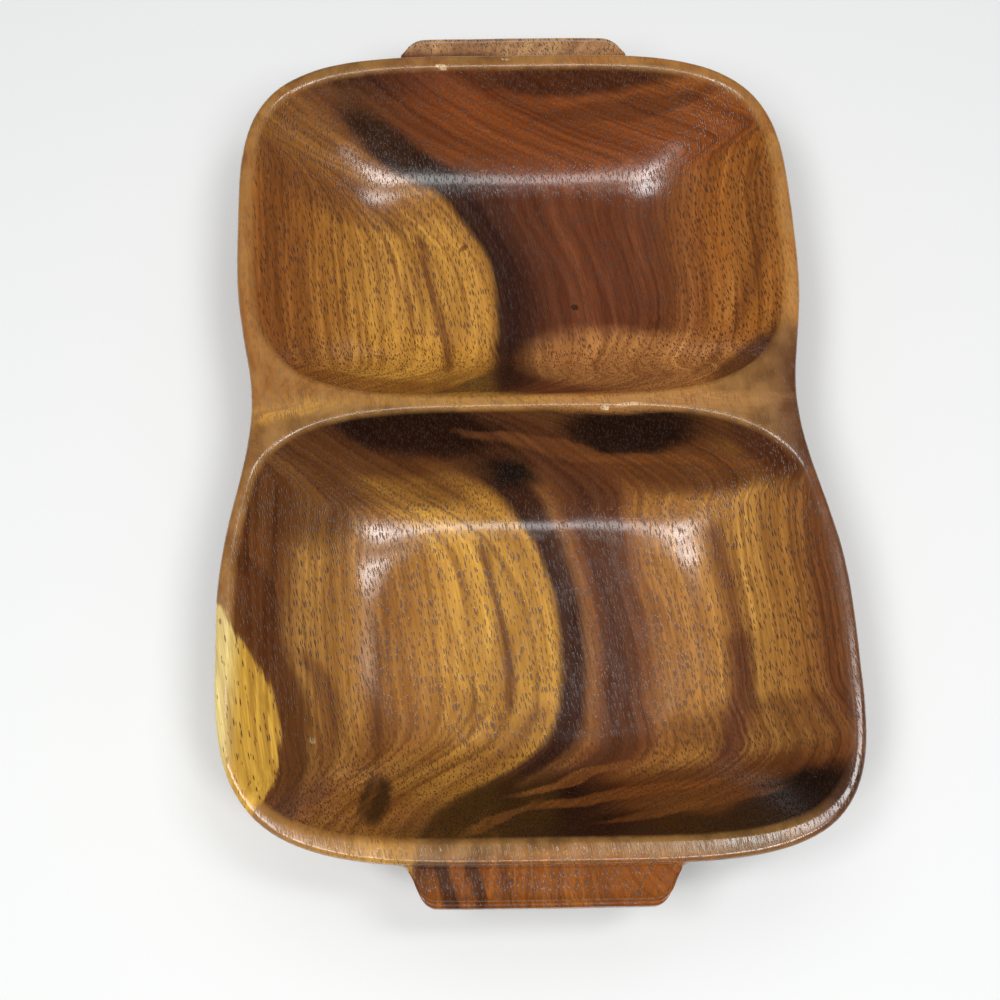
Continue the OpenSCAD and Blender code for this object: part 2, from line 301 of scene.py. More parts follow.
def pocketLoops():  # rows of share of the walls' run, share of the floor crossed, fall below the rim
    straight, edge = tray["wallStraight"], tray["edgeRound"] / tray["endRun"]
    turn = edge * (2 * np.arange(steps["round"] + 1) / steps["round"] - 1)
    rows = [[t, 0, pocketDepth * (t + edge) ** 2 / (2 * edge * (1 + straight))] for t in turn]
    for first, last, count in ((edge, straight, steps["straight"]), (straight, 1, steps["bend"])):
        for t in first + (last - first) * np.arange(1, count + 1) / count:
            rows.append([t, 0, pocketDepth * float(wallFall(t, straight))])
    for q in np.arange(1, steps["floor"]) / steps["floor"]:
        rows.append([1, q, pocketDepth + tray["floorDish"] * (1 - (1 - q) ** 2)])
    return rows


def loopCorner(edgeCorner, t):  # sharper down the valleys, softer at the floor
    deep, floor, valley = tray["pocketValleyCorner"], tray["pocketFloorCorner"], tray["valley"]
    if t < valley:
        return edgeCorner + (deep - edgeCorner) * max(t, 0) / valley
    return deep + (floor - deep) * (t - valley) / (1 - valley)


def loopAngles(side):  # directions of the crest's points, seen from the middle of a hollow
    x, y = uprightPoint(side, tray["rimRound"], tray["rimRound"], outlineCorner(side))
    rim = np.arctan2(y - pocketWidest(side), x)
    rim = np.where((x < 0) & (rim < 0), rim + 2 * np.pi, rim)
    septum = np.arange(1, steps["septum"]) / steps["septum"]
    return np.concatenate([rim, rim[-1] + (rim[0] + 2 * np.pi - rim[-1]) * septum])


def pocketLoop(side, angle, t, q, fall):
    outward = np.sin(angle) >= 0
    endReach = endOf("Length", side) - endOf("Rim", side) - pocketWidest(side)
    fullReach = np.where(outward, endReach, pocketWidest(side) - tray["septumWidth"] / 2)
    edgeCorner = np.where(outward, pocketCorner(side, np.cos(angle) > 0), tray["pocketSeptumCorner"])
    halfWidth = (endOf("Width", side) / 2 - tray["sideRim"] - tray["sideRun"] * t) * (1 - q)
    reach = (fullReach - tray["endRun"] * t) * (1 - q)
    x, y = boxPoint(angle, halfWidth, reach, cornerPower(loopCorner(edgeCorner, t)))
    y = pocketWidest(side) + y
    toWaist = np.maximum(1 - y / endOf("Widest", side), 0)
    x = held(x, flankHalfWidth(side, toWaist) - tray["flankRim"] - tray["sideRun"] * t) + leanAt(side * y)
    return np.stack([x, side * y, tray["height"] - fall + 0 * x], 1)


def outsideRings():  # from the crest of the rim down to the base and in towards its middle
    rings = [outsideRing(roundRing, i) for i in range(steps["round"] + 1)]
    rings += [outsideRing(handleRing, i) for i in range(len(handleRings))]
    rings += [outsideRing(lowerRing, i) for i in range(1, steps["outside"] + 1)]
    return rings + [outsideRing(baseRing, share) for share in tray["baseRings"]]


def septumCrest():
    across = np.cos(np.pi * np.arange(1, steps["septum"]) / steps["septum"])
    x = leanAt(0) - (tray["waistWidth"] / 2 - tray["rimRound"]) * across
    return np.stack([x, 0 * x, tray["height"] + 0 * x], 1)


def pocketPoints(side):  # loops down the walls and over the floor, and the floor's middle
    loops = [pocketLoop(side, loopAngles(side), *row) for row in pocketLoops()]
    y = side * pocketWidest(side)
    middle = np.array([[leanAt(y), y, tray["height"] - pocketDepth - tray["floorDish"]]])
    return np.concatenate(loops + [middle])


def outsideFaces(count):  # closed by a fan around the middle of the base
    faces = []
    for ring in range(count - 1):
        for i in range(ringCount):
            a, b = ring * ringCount + i, ring * ringCount + (i + 1) % ringCount
            faces.append((a, a + ringCount, b + ringCount, b))
    last, middle = (count - 1) * ringCount, count * ringCount
    return faces + [(middle, last + (i + 1) % ringCount, last + i) for i in range(ringCount)]


def pocketFaces(side, septumStart, start, count):  # closed by a fan around the middle of the floor
    crest = [i if side > 0 else (ringCount - i) % ringCount for i in range(halfCount)]
    crest += [septumStart + i for i in range(steps["septum"] - 1)]
    loops = [crest] + [[start + n * loopCount + i for i in range(loopCount)] for n in range(count)]
    faces = []
    for upper, lower in zip(loops[:-1], loops[1:]):
        for i in range(loopCount):
            j = (i + 1) % loopCount
            faces.append((upper[i], upper[j], lower[j], lower[i]))
    middle = start + count * loopCount
    faces += [(middle, loops[-1][i], loops[-1][(i + 1) % loopCount]) for i in range(loopCount)]
    return faces if side > 0 else [face[::-1] for face in faces]


def trayMesh():
    outside = outsideRings()
    baseMiddle = np.array([[leanAt(0), 0, 0]])
    septum = septumCrest()
    pockets = {side: pocketPoints(side) for side in (1, -1)}
    faces = outsideFaces(len(outside))
    septumStart = len(outside) * ringCount + 1
    start = septumStart + len(septum)
    for side in (1, -1):
        faces += pocketFaces(side, septumStart, start, (len(pockets[side]) - 1) // loopCount)
        start += len(pockets[side])
    points = np.concatenate(outside + [baseMiddle, septum, pockets[1], pockets[-1]])
    return points, faces


def waveAt(point, length, seed):  # smooth unevenness, from -1 to 1
    return noise.noise(Vector(point) / length + Vector((seed, seed, seed)))


def smoothStep(value, low, high):
    share = np.clip((value - low) / (high - low), 0, 1)
    return share * share * (3 - 2 * share)


def handFinish(mesh):  # the surface is never quite even: wide, shallow waves left by carving and sanding
    count = len(mesh.vertices)
    place, normal = np.zeros(count * 3, np.float32), np.zeros(count * 3, np.float32)
    mesh.vertices.foreach_get("co", place)
    mesh.vertices.foreach_get("normal", normal)
    place, normal = place.reshape(-1, 3), normal.reshape(-1, 3)
    size = place / mm
    hand = np.array([waveAt(p, tray["handWave"], tray["handSeed"]) for p in size])
    rim = np.array([waveAt(p, tray["rimWave"], tray["rimSeed"]) for p in size])
    lower, upper = tray["rimFinishDepths"]
    onRim = smoothStep(size[:, 2], tray["height"] - lower, tray["height"] - upper)
    offBase = smoothStep(size[:, 2], *tray["flatBaseHeights"])
    depth = tray["handDepth"] * (hand - 1) * (1 - onRim) + tray["rimDepth"] * (rim - 1) * onRim
    place += normal * (depth * offBase)[:, None] * mm
    return place


def fitToFrame(place):  # the finished surface fills the frame's own box
    low, high = place.min(0), place.max(0)
    wanted = np.array(traySize, float)
    return (place - (low + high) / 2) * (wanted / (high - low)) + np.array(trayLow + trayHigh) / 2


def makeTray():
    points, faces = trayMesh()
    mesh = bpy.data.meshes.new("carvedTray")
    mesh.from_pydata((points * mm).tolist(), [], faces)
    mesh.validate()
    mesh.shade_smooth()
    place = fitToFrame(handFinish(mesh))
    mesh.vertices.foreach_set("co", place.astype(np.float32).ravel())
    mesh.update()
    body = bpy.data.objects.new("carvedTray", mesh)
    bpy.context.scene.collection.objects.link(body)
    print("carved tray:", len(mesh.vertices), "points,", len(mesh.polygons), "faces")
    return body


# Floor and light: a plain pale table under soft overhead light
studio = {
    "floorSize": 4000, "floorColour": (0.80, 0.81, 0.80, 1), "floorRoughness": 0.7,
    "skyColour": (0.95, 0.97, 1, 1), "skyStrength": 0.22, "skyReflected": 0.02,
    # Panels: place, width and depth in mm, power in watts, and whether the lacquer mirrors them
    "panels": (
        {"name": "leftPanel", "place": (-430, -500, 1100), "size": (230, 380),
         "power": 3.7, "mirrored": True},
        {"name": "rightPanel", "place": (430, -500, 1100), "size": (210, 360),
         "power": 3.3, "mirrored": True},
        {"name": "leftSidePanel", "place": (-440, -150, 1100), "size": (250, 300),
         "power": 2.7, "mirrored": True},
        {"name": "rightSidePanel", "place": (420, 20, 1100), "size": (150, 380),
         "power": 2.4, "mirrored": True},
        {"name": "nearPanel", "place": (60, -540, 1100), "size": (600, 250),
         "power": 2.5, "mirrored": True},
        {"name": "farPanel", "place": (0, 800, 1400), "size": (1400, 900),
         "power": 4, "mirrored": False},
    ),
}


def makeFloor():
    half = studio["floorSize"] * mm / 2
    mesh = bpy.data.meshes.new("floor")
    corners = [(-half, -half, 0), (half, -half, 0), (half, half, 0), (-half, half, 0)]
    mesh.from_pydata(corners, [], [(0, 1, 2, 3)])
    floor = bpy.data.objects.new("floor", mesh)
    bpy.context.scene.collection.objects.link(floor)
    material = bpy.data.materials.new("paleTable")
    material.use_nodes = True
    shader = material.node_tree.nodes["Principled BSDF"]
    shader.inputs["Base Color"].default_value = studio["floorColour"]
    shader.inputs["Roughness"].default_value = studio["floorRoughness"]
    mesh.materials.append(material)


def makeSky():  # the room reflects more weakly than it lights
    world = bpy.data.worlds.new("studio")
    bpy.context.scene.world = world
    world.use_nodes = True
    tree = world.node_tree
    sky = tree.nodes["Background"]
    sky.inputs["Color"].default_value = studio["skyColour"]
    ray = tree.nodes.new("ShaderNodeLightPath")
    reflected = tree.nodes.new("ShaderNodeMapRange")
    tree.links.new(ray.outputs["Is Glossy Ray"], reflected.inputs["Value"])
    reflected.inputs["To Min"].default_value = studio["skyStrength"]
    reflected.inputs["To Max"].default_value = studio["skyReflected"]
    tree.links.new(reflected.outputs["Result"], sky.inputs["Strength"])


def addPanel(panel):  # every panel faces the tray's middle
    data = bpy.data.lights.new(panel["name"], "AREA")
    data.shape, data.energy = "RECTANGLE", panel["power"]
    data.size, data.size_y = [side * mm for side in panel["size"]]
    lamp = bpy.data.objects.new(panel["name"], data)
    lamp.visible_glossy = panel["mirrored"]
    lamp.location = Vector(panel["place"]) * mm
    lamp.rotation_euler = (-lamp.location).to_track_quat("-Z", "Y").to_euler()
    bpy.context.scene.collection.objects.link(lamp)


makeFloor()
makeSky()
for panel in studio["panels"]:
    addPanel(panel)
bpy.context.scene.view_settings.view_transform = "Standard"
print("studio:", len(studio["panels"]), "panels")
body = makeTray()


# Shader helpers: a socket takes either another socket or a plain value
def give(tree, socket, value):
    if isinstance(value, bpy.types.NodeSocket):
        tree.links.new(value, socket)
    else:
        socket.default_value = value


def calc(tree, operation, *values, clamp=False):
    node = tree.nodes.new("ShaderNodeMath")
    node.operation, node.use_clamp = operation, clamp
    for socket, value in zip(node.inputs, values):
        give(tree, socket, value)
    return node.outputs[0]


def fade(tree, value, low, high, start=0, end=1):  # smooth change from start to end between low and high
    node = tree.nodes.new("ShaderNodeMapRange")
    node.interpolation_type = "SMOOTHSTEP"
    amounts = {"Value": value, "From Min": low, "From Max": high, "To Min": start, "To Max": end}
    for label, amount in amounts.items():
        give(tree, node.inputs[label], amount)
    return node.outputs["Result"]


def blend(tree, share, first, second, mode="MIX"):
    node = tree.nodes.new("ShaderNodeMix")
    node.data_type, node.blend_type = "RGBA", mode
    for place, value in ((0, share), (6, first), (7, second)):  # the node's places for a colour mix
        give(tree, node.inputs[place], value)
    return node.outputs[2]


def curveOver(tree, value, points, span):  # smooth curve through (place, result) pairs, in mm
    node = tree.nodes.new("ShaderNodeFloatCurve")
    node.mapping.extend = "HORIZONTAL"
    curve = node.mapping.curves[0]
    ordered = sorted(points)
    for count, (place, result) in enumerate(ordered):
        spot = (place / span / 2 + 0.5, result / span / 2 + 0.5)
        point = curve.points[count] if count < 2 else curve.points.new(*spot)
        point.location = spot
    for point in curve.points:
        point.handle_type = "AUTO_CLAMPED"
    node.mapping.update()
    give(tree, node.inputs["Value"], calc(tree, "MULTIPLY_ADD", value, 0.5 / span, 0.5))
    return calc(tree, "MULTIPLY_ADD", node.outputs[0], 2 * span, -span)


def colourOver(tree, value, stops, low, high):  # colours at places between low and high, in mm
    node = tree.nodes.new("ShaderNodeValToRGB")
    elements = node.color_ramp.elements
    for count, (place, colour) in enumerate(stops):
        spot = (place - low) / (high - low)
        element = elements[count] if count < 2 else elements.new(spot)
        element.position, element.color = spot, (*colour, 1)
    give(tree, node.inputs[0], calc(tree, "MULTIPLY_ADD", value, 1 / (high - low), -low / (high - low)))
    return node.outputs[0]


def scaled(tree, places, sizes):  # vector of the places, each measured in its own size
    vector = tree.nodes.new("ShaderNodeCombineXYZ")
    for socket, place, size in zip(vector.inputs, places, sizes):
        give(tree, socket, calc(tree, "DIVIDE", place, size))
    return vector.outputs[0]


def grain(tree, places, pattern):  # cloudy noise with waves of the pattern's sizes
    node = tree.nodes.new("ShaderNodeTexNoise")
    give(tree, node.inputs["Vector"], scaled(tree, places, pattern["sizes"]))
    node.inputs["Scale"].default_value = 1
    node.inputs["Detail"].default_value = pattern["detail"]
    return node.outputs[0]


def waver(tree, places, pattern):  # the same noise, to either side of zero
    reach = pattern["reach"]
    return calc(tree, "MULTIPLY_ADD", grain(tree, places, pattern), reach, -reach / 2)


def toned(tree, tone, value, pattern):  # tone made darker or lighter by a value of that noise
    change = calc(tree, "MULTIPLY_ADD", value, pattern["contrast"], pattern["base"])
    return calc(tree, "MULTIPLY", tone, change)


def makeGroup(name, inputs, outputs, build):
    group = bpy.data.node_groups.new(name, "ShaderNodeTree")
    for label in inputs:
        group.interface.new_socket(name=label, in_out="INPUT", socket_type="NodeSocketFloat")
    for label in outputs:
        group.interface.new_socket(name=label, in_out="OUTPUT", socket_type="NodeSocketFloat")
    source, target = group.nodes.new("NodeGroupInput"), group.nodes.new("NodeGroupOutput")
    for label, socket in zip(outputs, build(group, *source.outputs[:len(inputs)])):
        group.links.new(socket, target.inputs[label])
    return group


def useGroup(tree, group, *values):
    node = tree.nodes.new("ShaderNodeGroup")
    node.node_tree = group
    for socket, value in zip(node.inputs, values):
        give(tree, socket, value)
    return node.outputs


# Acacia-like wood of the tray. Places in mm in the tray's frame, colours linear.
wood = {
    "brightness": 1.2,
    # Left edge of the dark heart band, as (along, across), and how much, in percent, distances
    # from it still count as the carving cuts through the layers on the end walls
    "heartEdge": (
        (134, -95), (130, -89), (125, -79), (119, -66), (115, -55), (111, -44), (107, -35), (101, -29),
        (94, -24), (87, -19), (80, -15), (70, -11.5), (55, -10), (40, -11), (30, -13), (25, -16),
        (20, -21), (15, -27), (11, -34), (8, -46), (4, -46), (0, -41), (-5, -33), (-9, -25), (-13, -17),
        (-18, -9.5), (-23, -5), (-29, 0.5), (-36, 3.5), (-45, 6.5), (-57, 9), (-70, 9.5), (-82, 9),
        (-91, 7), (-98, 3.5), (-104, -3), (-109, -11), (-114, -19), (-119, -25.5), (-124, -31),
        (-130, -35), (-140, -38), (-150, -40),
    ),
    "bandSpread": (
        (130, 36), (112, 38), (107, 62), (98, 78), (85, 94), (70, 100), (35, 100), (27, 85), (18, 62),
        (11, 62), (8, 90), (4, 60), (-2, 48), (-14, 54), (-24, 75), (-36, 92), (-50, 100), (-82, 100),
        (-95, 84), (-106, 68), (-130, 66), (-136, 90),
    ),
    "tint": (1.03, 0.94, 0.80, 1),
    # How many mm the colours shift for each mm that a wall rises above the turn's height, to the
    # right and the left of the edge, and the distances from it over which that starts
    "rightTurn": 2.1, "rightTurnZone": (10, 60), "leftTurn": 0.8, "leftTurnZone": (-70, -35),
    "turnHeight": 10,
    # Well to the left of the edge the layers run straighter: where, and along which line
    "straightZone": (-45, -12), "straightAlong": (-20, 30), "straightAcross": (8, -10),
    # Where the small hollow's colours take over, softly at the floor and sharply at the septum's top
    "hollowBorder": 6, "borderHeights": (5, 30), "borderWidths": (25, 2),
    # Colours by distance from that edge, for the small and the large hollow
    "farColours": (
        (-120, (0.19, 0.060, 0.015)), (-86, (0.225, 0.082, 0.018)), (-62, (0.33, 0.145, 0.030)),
        (-42, (0.37, 0.180, 0.034)), (-20, (0.365, 0.180, 0.032)), (-2, (0.33, 0.155, 0.029)),
        (0.8, (0.032, 0.012, 0.007)), (7, (0.030, 0.010, 0.006)), (13, (0.046, 0.014, 0.007)),
        (21, (0.090, 0.025, 0.010)), (31, (0.125, 0.035, 0.013)), (44, (0.102, 0.028, 0.010)),
        (60, (0.105, 0.031, 0.012)), (84, (0.225, 0.080, 0.024)), (112, (0.31, 0.110, 0.022)),
        (144, (0.30, 0.108, 0.020)), (180, (0.33, 0.132, 0.032)),
    ),
    "nearColours": (
        (-122, (0.11, 0.036, 0.010)), (-106, (0.13, 0.048, 0.014)), (-95, (0.30, 0.145, 0.038)),
        (-74, (0.33, 0.158, 0.038)), (-60, (0.25, 0.105, 0.022)), (-46, (0.31, 0.140, 0.027)),
        (-30, (0.42, 0.215, 0.038)), (-14, (0.40, 0.205, 0.036)), (-1.5, (0.36, 0.175, 0.030)),
        (0.6, (0.036, 0.012, 0.006)), (6.5, (0.034, 0.011, 0.005)), (9.5, (0.165, 0.064, 0.019)),
        (12.5, (0.12, 0.040, 0.013)), (15.5, (0.062, 0.019, 0.008)), (20, (0.070, 0.022, 0.008)),
        (26, (0.115, 0.037, 0.012)), (31, (0.205, 0.080, 0.020)), (38, (0.30, 0.132, 0.031)),
        (54, (0.35, 0.162, 0.040)), (90, (0.39, 0.192, 0.046)), (117, (0.27, 0.115, 0.027)),
        (145, (0.15, 0.052, 0.018)), (175, (0.12, 0.045, 0.020)),
    ),
    # Distances between which the colours lie, and how far the curves reach to either side of the middle
    "colourSpan": (-130, 190), "curveSpan": 160,
    # Sapwood wedge at the left: its right border, and its colours
    "sapEdge": (
        (-52, -112), (-60, -97), (-66, -94), (-72, -90), (-78, -86.5), (-85, -83), (-92, -81), (-100, -80),
        (-110, -80), (-118, -82), (-125, -86), (-131, -93), (-137, -112),
    ),
    "sapColour": (0.47, 0.265, 0.042, 1), "sapPale": (0.58, 0.470, 0.200, 1),
    "sapPaleZone": (-90, -96), "sapBorder": (-1.2, 0.6),
    # Noise that makes every border waver: sizes of its waves, and how far it reaches
    "sway": {"sizes": (22, 60, 22), "detail": 2, "reach": 4},
    "teeth": {"sizes": (0.9, 22, 3), "detail": 3, "reach": 3.6},
    "drift": {"sizes": (14, 30, 12), "detail": 4, "reach": 6},
    # Noise that lightens and darkens the colour: fibres, streaks and broad bands
    "fibreSlant": 0.2, "lineLean": 0.1,
    "fineGrain": {"sizes": (0.5, 20, 0.8), "detail": 3, "contrast": 0.9, "base": 0.55},
    "lineGrain": {"sizes": (2.2, 70, 30), "detail": 4, "contrast": 1.9, "base": 0.05},
    "broadGrain": {"sizes": (10, 130, 60), "detail": 2, "contrast": 1.1, "base": 0.45},
    "tonePowers": (0.85, 1.05, 1.1),  # for red, green and blue: darker lines are redder too
    # Pores: short vessels along the grain, densest where their noise is high and fewest in the sapwood
    "poreColour": (0.080, 0.026, 0.006, 1), "poreShare": 0.85, "poreLength": 3.2, "poreGap": 0.52,
    "poreReach": 1.2, "poreWidths": (0.3, 0.52), "poreSharpness": 0.6, "sapPores": 0.3,
    "poreNoise": {"sizes": (9, 30, 20), "detail": 2}, "poreNoiseZone": (0.25, 0.55), "leastPores": 0.6,
    # Wear of the rim and septum, between these depths below the crest, darker at the near right
    "rimColour": (0.41, 0.200, 0.052, 1), "rimDark": (0.13, 0.055, 0.026, 1), "rimShare": 0.5,
    "rimDepths": (2.2, 0.5), "wearNoise": {"sizes": (6, 9, 6), "detail": 4}, "wearZone": (0.3, 0.7),
    "wearShares": (0.6, 1.4), "nearHandleEdge": (-140, -136), "nearHandleWear": 0.2, "sapWear": 0.2,
    "rimDarkAcross": (72, 88), "rimDarkAlong": (15, 40),
    # Lacquer and relief, depths in mm
    "roughness": 0.21, "wearRoughness": 0.2, "poreRoughness": 0.25, "lacquerIor": 1.7,
    "poreDepth": 0.06, "fibreDepth": 0.04, "toolMarkDepth": 0.06,
    # Soft borders: squared reach at which a patch starts and ends to fade, and how far in mm a streak
    # fades at its ends and runs on past its path
    "patchFade": (0.35, 1.35), "streakFade": 7, "streakOverrun": 4,
}
# Darker and lighter streaks that run with the grain
streaks = (
    {"path": ((86, -39), (75, -36), (62, -33), (50, -30), (38, -28), (28, -28)), "width": 3.0,
     "soft": 1.6, "colour": (0.12, 0.037, 0.011), "share": 0.85},
    {"path": ((86, -52), (70, -46), (58, -42), (46, -39)), "width": 1.8, "soft": 1.6,
     "colour": (0.17, 0.060, 0.016), "share": 0.6},
    {"path": ((82, -45), (70, -41), (58, -37)), "width": 1.0, "soft": 1.0,
     "colour": (0.15, 0.050, 0.014), "share": 0.6},
    {"path": ((-36, -99), (-42, -95), (-48, -89), (-54, -86), (-64, -86), (-73, -83.5), (-82, -79),
              (-95, -75.5), (-108, -75), (-120, -76), (-128, -78)), "width": 8.0, "soft": 2.5,
     "colour": (0.075, 0.023, 0.007), "share": 0.88},
    {"path": ((100, 81), (80, 80.5), (62, 79), (48, 75), (38, 70), (28, 63), (20, 55)), "width": 5.0,
     "soft": 3.0, "colour": (0.12, 0.040, 0.014), "share": 0.6},
    {"path": ((96, 74), (76, 74), (60, 72.5), (46, 68), (36, 61), (27, 52)), "width": 4.0, "soft": 3.0,
     "colour": (0.30, 0.125, 0.034), "share": 0.5},
    {"path": ((76, 21), (64, 22.5), (52, 25), (46, 27)), "width": 1.6, "soft": 1.4,
     "colour": (0.075, 0.018, 0.008), "share": 0.6},
    {"path": ((70, 32), (62, 33), (54, 35), (50, 36)), "width": 1.4, "soft": 1.2,
     "colour": (0.085, 0.021, 0.009), "share": 0.55},
    {"path": ((66, 41), (58, 42), (50, 44)), "width": 1.2, "soft": 1.2,
     "colour": (0.085, 0.021, 0.009), "share": 0.5},
    {"path": ((-72, -74), (-80, -69), (-92, -67), (-105, -67), (-120, -69)), "width": 7.0, "soft": 2.5,
     "colour": (0.125, 0.044, 0.013), "share": 0.8},
    {"path": ((-54, -97), (-64, -91), (-72, -86), (-82, -81.5), (-92, -79.5), (-105, -79), (-120, -81)),
     "width": 3.0, "soft": 1.8, "colour": (0.085, 0.028, 0.008), "share": 0.85},
    {"path": ((-58, -53), (-75, -51), (-90, -51), (-110, -51), (-125, -54), (-131, -57)), "width": 2.2,
     "soft": 1.8, "colour": (0.12, 0.044, 0.012), "share": 0.75},
    {"path": ((-32, -17), (-48, -13), (-58, -11), (-72, -9), (-88, -8.5)), "width": 3.2, "soft": 1.8,
     "colour": (0.10, 0.032, 0.007), "share": 0.88},
    {"path": ((-58, -28), (-72, -24), (-88, -20), (-102, -22)), "width": 1.2, "soft": 1.0,
     "colour": (0.17, 0.064, 0.013), "share": 0.6},
    {"path": ((-28, 60), (-40, 63), (-55, 65.5), (-70, 67), (-90, 66), (-108, 60)), "width": 5.0,
     "soft": 3.0, "colour": (0.12, 0.040, 0.018), "share": 0.8},
    {"path": ((-66, 67), (-80, 67.5), (-92, 66), (-108, 60)), "width": 8.0, "soft": 3.0,
     "colour": (0.10, 0.033, 0.016), "share": 0.8},
    {"path": ((-88, 1), (-98, -7), (-108, -20), (-118, -33), (-129, -41)), "width": 9.0, "soft": 5.0,
     "colour": (0.15, 0.056, 0.016), "share": 0.75},
    {"path": ((-129, -31), (-138, -29.5), (-152, -26)), "width": 5.0, "soft": 1.2,
     "colour": (0.035, 0.011, 0.004), "share": 0.95},
    {"path": ((-131, -23), (-140, -20.5), (-152, -17)), "width": 4.2, "soft": 1.2,
     "colour": (0.045, 0.014, 0.004), "share": 0.9},
    {"path": ((-131, -14), (-141, -11.5), (-152, -8)), "width": 2.4, "soft": 1.2,
     "colour": (0.090, 0.028, 0.007), "share": 0.75},
    {"path": ((-136, 14), (-144, 17), (-152, 19)), "width": 1.6, "soft": 1.4,
     "colour": (0.13, 0.042, 0.008), "share": 0.6},
)
